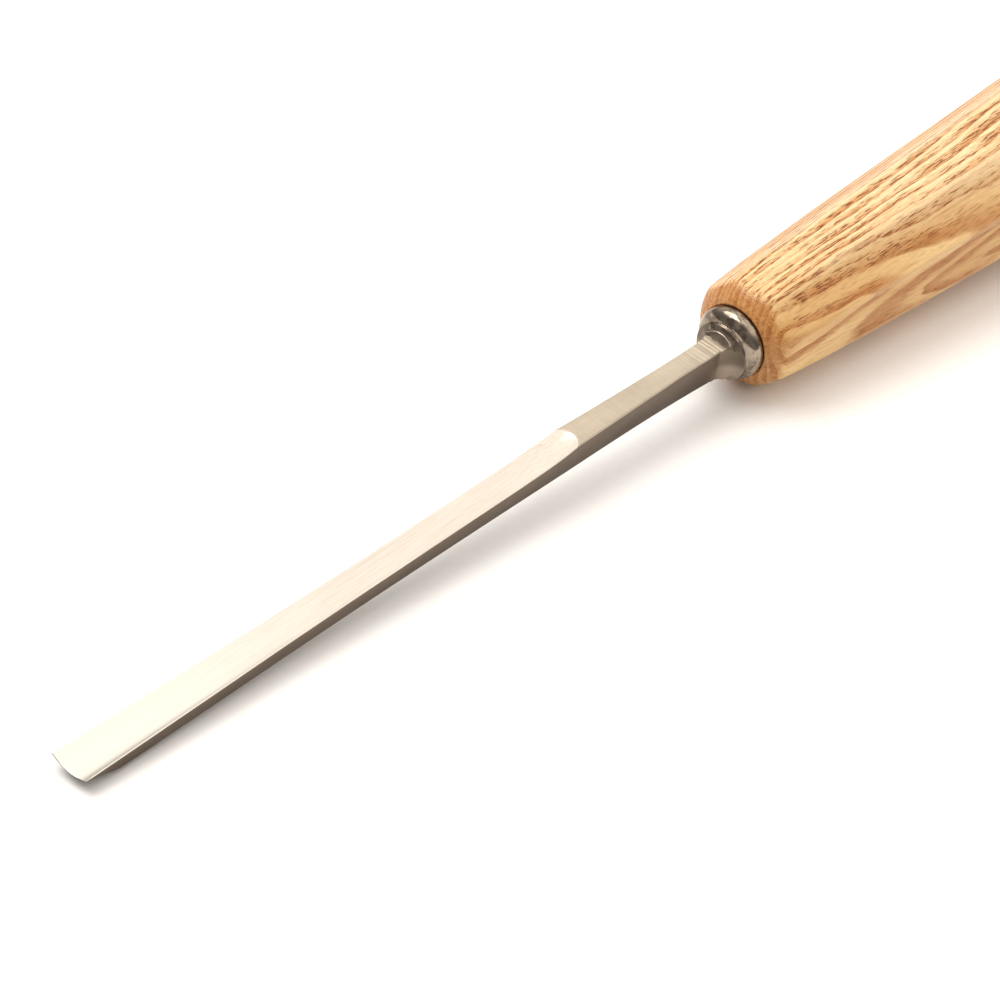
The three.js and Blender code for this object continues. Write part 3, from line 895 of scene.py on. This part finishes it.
def make_floor_material():
    n = Nodes("studio_floor")
    p = n.add("ShaderNodeTexCoord").outputs["Object"]
    grain = n.noise(p, 900.0, 900.0, 2.0, 0.5)
    tone = n.range(grain, 0.3, 0.7, 0.90, 0.915)
    n.set(Base_Color=n.join(tone, tone, n.math("MULTIPLY", tone, 0.985)), Roughness=0.9)
    n.set(Specular_IOR_Level=0.1)
    return n.material


# ---- build ----
forging = make_forging()
for material in (make_channel_steel(), make_shank_steel(), make_side_steel(), make_bolster_steel()):
    forging.data.materials.append(material)
handle = make_handle()
handle.data.materials.append(make_ash())

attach(forging, "root")
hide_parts("blade_forging")
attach(handle, "root")
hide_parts("handle_ash")

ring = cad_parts["ferrule_ring"]
ring.data.materials.clear()
ring.data.materials.append(make_ferrule_steel())

# ---- floor, light, camera ----
FLOOR_HALF = 6.0
FLOOR_DROP = 0.0002       # keeps the floor just clear of the tool's flats


def make_floor():
    mesh = bpy.data.meshes.new("floor")
    corners = [(-FLOOR_HALF, -FLOOR_HALF, 0), (FLOOR_HALF, -FLOOR_HALF, 0),
               (FLOOR_HALF, FLOOR_HALF, 0), (-FLOOR_HALF, FLOOR_HALF, 0)]
    mesh.from_pydata(corners, [], [(0, 1, 2, 3)])
    floor = bpy.data.objects.new("floor", mesh)
    bpy.context.scene.collection.objects.link(floor)
    floor.data.materials.append(make_floor_material())
    floor.location.z = -FLOOR_DROP


# directions are (X, Y, Z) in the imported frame: the cutting edge points +X, the near side is +Y
KEY_DIRECTION = Vector((0.34, -0.58, 1.0))
KEY_DISTANCE = 1.05
KEY_SIZE = 0.80
KEY_POWER = 8.0
KEY_COLOUR = (1.0, 0.98, 0.96)
KEY_TARGET = Vector((0.03, 0, 0.01))
SKY_BRIGHT = (1.51, 1.41, 1.32, 1)
SKY_DARK = (0.41, 0.385, 0.365, 1)
SKY_LOW = (0.33, 0.30, 0.27, 1)
SKY_CENTRE = Vector((-0.62, -0.15, 0.77))
SKY_EASE = (0.05, 0.75)   # from dark to bright, by closeness to the bright sky's centre
HORIZON_EASE = (0.0, 0.38)


def make_key_light():
    light = bpy.data.lights.new("key_softbox", "AREA")
    light.shape = "SQUARE"
    light.size = KEY_SIZE
    light.energy = KEY_POWER
    light.color = KEY_COLOUR
    key = bpy.data.objects.new("key_softbox", light)
    bpy.context.scene.collection.objects.link(key)
    key.location = KEY_TARGET + KEY_DIRECTION.normalized() * KEY_DISTANCE
    key.rotation_euler = (-KEY_DIRECTION).to_track_quat("-Z", "Y").to_euler()


def make_world():
    """Warm studio surroundings: bright behind and above the handle, dim toward the horizon."""
    world = bpy.data.worlds.new("studio")
    world.use_nodes = True
    bpy.context.scene.world = world
    tree = world.node_tree
    background = tree.nodes["Background"]
    direction = tree.nodes.new("ShaderNodeTexCoord").outputs["Generated"]
    toward = tree.nodes.new("ShaderNodeVectorMath")
    toward.operation = "DOT_PRODUCT"
    toward.inputs[1].default_value = SKY_CENTRE.normalized()
    tree.links.new(direction, toward.inputs[0])
    split = tree.nodes.new("ShaderNodeSeparateXYZ")
    tree.links.new(direction, split.inputs[0])

    def ease(value, low, high):
        node = tree.nodes.new("ShaderNodeMapRange")
        node.interpolation_type = "SMOOTHSTEP"
        tree.links.new(value, node.inputs["Value"])
        node.inputs["From Min"].default_value = low
        node.inputs["From Max"].default_value = high
        return node.outputs["Result"]

    def blend(factor, a, b):
        node = tree.nodes.new("ShaderNodeMix")
        node.data_type = "RGBA"
        tree.links.new(factor, node.inputs[MIX_FACTOR])
        for socket, value in ((MIX_A, a), (MIX_B, b)):
            if isinstance(value, tuple):
                node.inputs[socket].default_value = value
            else:
                tree.links.new(value, node.inputs[socket])
        return node.outputs[MIX_RESULT]

    sky = blend(ease(toward.outputs["Value"], *SKY_EASE), SKY_DARK, SKY_BRIGHT)
    sky = blend(ease(split.outputs["Z"], *HORIZON_EASE), SKY_LOW, sky)
    tree.links.new(sky, background.inputs["Color"])
    background.inputs["Strength"].default_value = 1.0


# the photograph's view, about a point on the tool's middle line
TARGET = (59.0, 0.0, 0.0)
VIEW_AZIMUTH = math.radians(50.31)    # from +Y toward the cutting edge
VIEW_ELEVATION = math.radians(43.08)
VIEW_ROLL = math.radians(7.01)
VIEW_DISTANCE = 442.6
LENS = 126.3
SENSOR = 36.0
CLIP_START = 0.01
SHIFT = (0.0656, 0.0307)


def make_camera():
    away = Vector((math.sin(VIEW_AZIMUTH) * math.cos(VIEW_ELEVATION),
                   math.cos(VIEW_AZIMUTH) * math.cos(VIEW_ELEVATION), math.sin(VIEW_ELEVATION)))
    level_right = (-away).cross(Vector((0, 0, 1))).normalized()
    level_up = level_right.cross(-away)
    right = level_right * math.cos(VIEW_ROLL) + level_up * math.sin(VIEW_ROLL)
    up = level_up * math.cos(VIEW_ROLL) - level_right * math.sin(VIEW_ROLL)
    turn = Matrix((right, up, away)).transposed().to_4x4()
    camera_data = bpy.data.cameras.new("camera")
    camera_data.lens = LENS
    camera_data.sensor_width = SENSOR
    camera_data.shift_x, camera_data.shift_y = SHIFT
    camera_data.clip_start = CLIP_START
    camera = bpy.data.objects.new("camera", camera_data)
    bpy.context.scene.collection.objects.link(camera)
    camera.matrix_world = TURN @ turn
    camera.location = place(Vector(TARGET) + away * VIEW_DISTANCE)
    bpy.context.scene.camera = camera


make_floor()
make_key_light()
make_world()
make_camera()
bpy.context.scene.view_settings.view_transform = "Standard"
